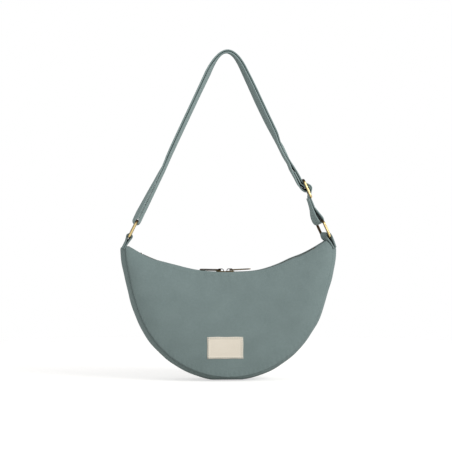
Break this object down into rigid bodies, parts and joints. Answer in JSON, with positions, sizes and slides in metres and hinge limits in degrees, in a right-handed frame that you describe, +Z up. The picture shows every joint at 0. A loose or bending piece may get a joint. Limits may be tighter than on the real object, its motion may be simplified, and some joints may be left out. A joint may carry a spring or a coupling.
{
  "type": "belt bag",
  "caption": "Half-moon canvas belt bag with a curved two-way zip, a blank label patch and a doubled webbing strap on brass rings with a sliding adjuster",
  "frame": {"origin": "the hanging point: the middle of the underside of the strap's inner layer, at the top of the strap", "axes": "+Z up, +X to the wearer's side where the adjuster is (right in the picture), -Y the front with the label"},
  "size_m": [0.2996, 0.0648, 0.4583],
  "materials": {
    "canvas": "grey-green plain-weave cotton canvas",
    "lining": "thin matt cotton",
    "label": "cream cotton twill, blank",
    "zipper_tape": "dark woven tape",
    "webbing": "grey-green woven cotton webbing",
    "zip_brass": "aged brass",
    "slider_bronze": "dark antique brass",
    "ring_brass": "polished light brass"
  },
  "bodies": {
    "strap": {"strap_loop": "webbing", "strap_sewn_run": "webbing", "strap_live_run": "webbing", "strap_lower_run": "webbing", "strap_ring_end": "webbing"},
    "adjuster": {"adjuster": "ring_brass", "strap_bight": "webbing", "strap_sewn_fold": "webbing"},
    "ring_left": {"ring_left": "ring_brass"},
    "ring_right": {"ring_right": "ring_brass"},
    "bag": {"front_panel": "canvas", "back_panel": "canvas", "gusset": "canvas", "front_lining": "lining", "back_lining": "lining", "gusset_lining": "lining", "label_patch": "label", "zip_end_cover_left": "canvas", "zip_end_cover_right": "canvas", "zipper_tape_front": "zipper_tape", "zipper_tape_back": "zipper_tape", "zipper_teeth_front": "zip_brass", "zipper_teeth_back": "zip_brass", "zip_stop_left": "zip_brass", "zip_stop_right": "zip_brass", "tab_left": "canvas", "tab_right": "canvas"},
    "zip_slider_left": {"zip_slider_left": "slider_bronze"},
    "zip_slider_right": {"zip_slider_right": "slider_bronze"},
    "zip_pull_left": {"zip_pull_left": "slider_bronze"},
    "zip_pull_right": {"zip_pull_right": "slider_bronze"}
  },
  "joints": [
    {"name": "adjuster_slide", "type": "slide", "parent": "strap", "child": "adjuster", "axis": [-0.4462, 0, 0.8949], "range_m": [0, 0.06], "deforming": ["strap_sewn_run", "strap_live_run", "strap_lower_run"]},
    {"name": "ring_left_swing", "type": "hinge", "parent": "strap", "child": "ring_left", "pos_m": [-0.12671, 0, -0.23293], "axis": [0, 1, 0], "range_deg": [-12, 12]},
    {"name": "bag_sway", "type": "hinge", "parent": "ring_left", "child": "bag", "pos_m": [-0.1376, 0, -0.25476], "axis": [0, 1, 0], "range_deg": [-11.06, 11.06]},
    {"name": "ring_right_swing", "type": "hinge", "parent": "strap", "child": "ring_right", "pos_m": [0.12671, 0, -0.23293], "axis": [0, 1, 0], "range_deg": [-12, 12]},
    {"name": "zip_left", "type": "hinge", "parent": "bag", "child": "zip_slider_left", "pos_m": [-0.00718, 0, -0.04656], "axis": [0, 1, 0], "range_deg": [0, 22.6]},
    {"name": "zip_right", "type": "hinge", "parent": "bag", "child": "zip_slider_right", "pos_m": [-0.00718, 0, -0.04656], "axis": [0, -1, 0], "range_deg": [0, 24.5]},
    {"name": "pull_left", "type": "hinge", "parent": "zip_slider_left", "child": "zip_pull_left", "pos_m": [-0.0107, 0, -0.30123], "axis": [0, 1, 0], "range_deg": [0, 95]},
    {"name": "pull_right", "type": "hinge", "parent": "zip_slider_right", "child": "zip_pull_right", "pos_m": [0.00201, 0, -0.30109], "axis": [0, -1, 0], "range_deg": [0, 95]}
  ],
  "couplings": [
    {"joint": "bag_sway", "follows": "ring_left_swing", "ratio": -0.92087},
    {"joint": "ring_right_swing", "follows": "ring_left_swing", "ratio": 1}
  ]
}
